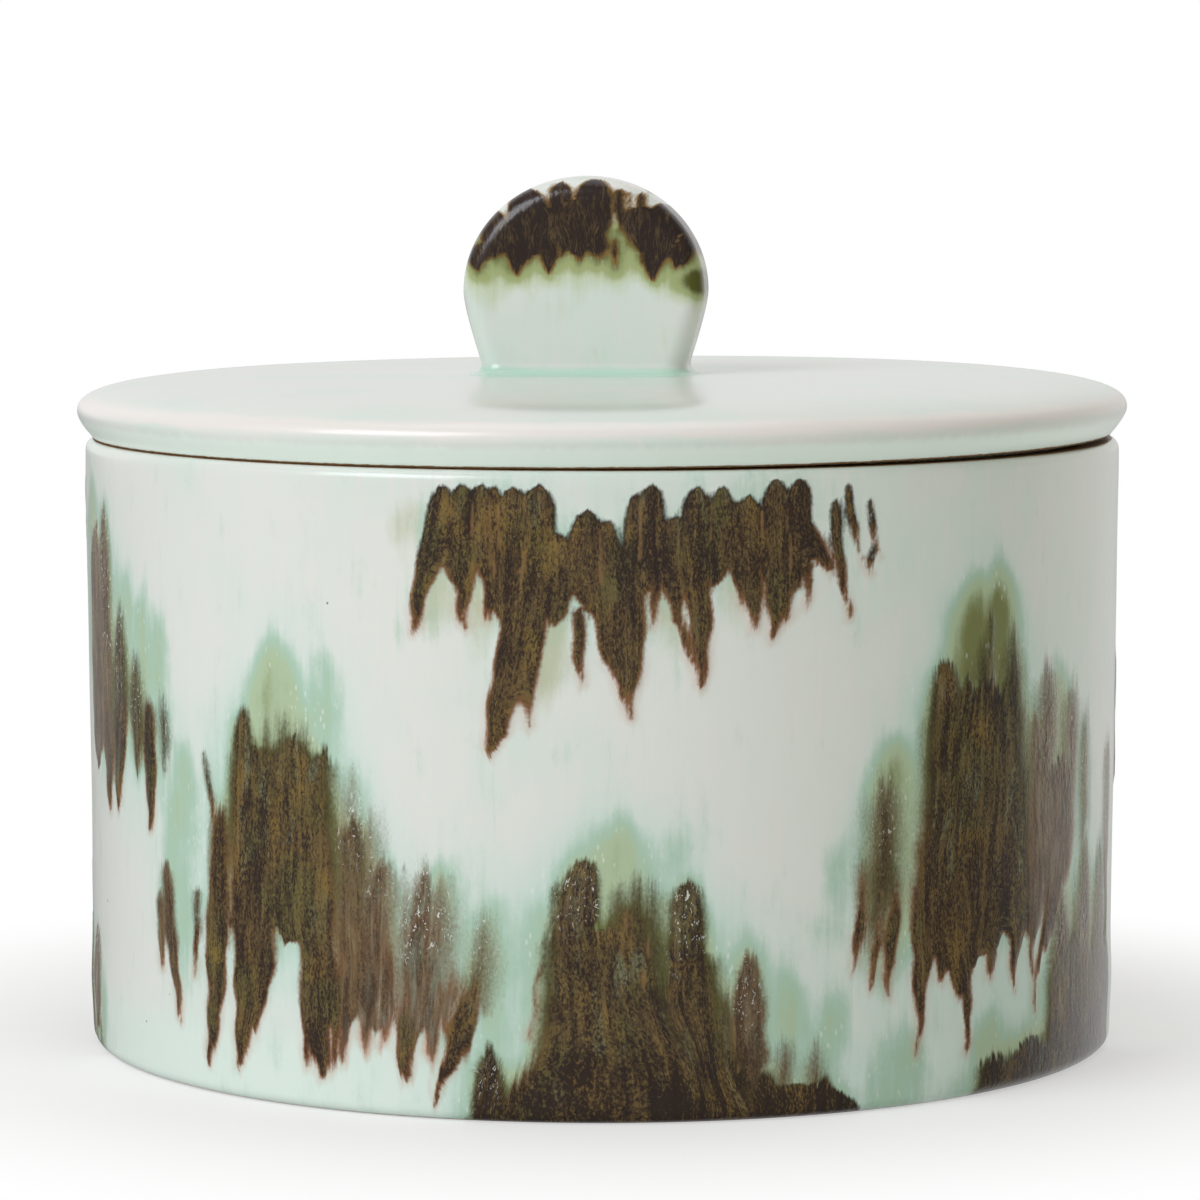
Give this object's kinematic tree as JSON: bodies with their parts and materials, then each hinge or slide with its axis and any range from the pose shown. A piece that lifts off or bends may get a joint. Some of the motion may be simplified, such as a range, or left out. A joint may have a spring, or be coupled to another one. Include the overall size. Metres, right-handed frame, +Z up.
{
  "type": "cookie jar",
  "caption": "Round straight-sided stoneware cookie jar with a loose slab lid, a locating ring under it and an upright disc knob, in pale mint glaze with dark running drips.",
  "frame": {"origin": "on the table, under the centre of the jar's foot ring", "axes": "+Z up along the jar's axis; the disc knob's flat faces look along -Y and +Y"},
  "size_m": [0.175, 0.175, 0.144],
  "materials": {
    "jar_glaze": "satin-gloss reactive glaze, pale mint white with iron-brown drips and green halos",
    "lid_glaze": "satin-gloss pale mint glaze, thin and pinkish along the edge",
    "knob_glaze": "glossy iron-brown drip over pale mint glaze"
  },
  "bodies": {
    "jar": {"jar_body": "jar_glaze"},
    "lid": {"lid_plate": "lid_glaze", "lid_knob": "knob_glaze"}
  },
  "joints": [
    {"name": "lid_lift", "type": "slide", "parent": "jar", "child": "lid", "axis": [0, 0, 1], "range_m": [0, 0.15]}
  ]
}
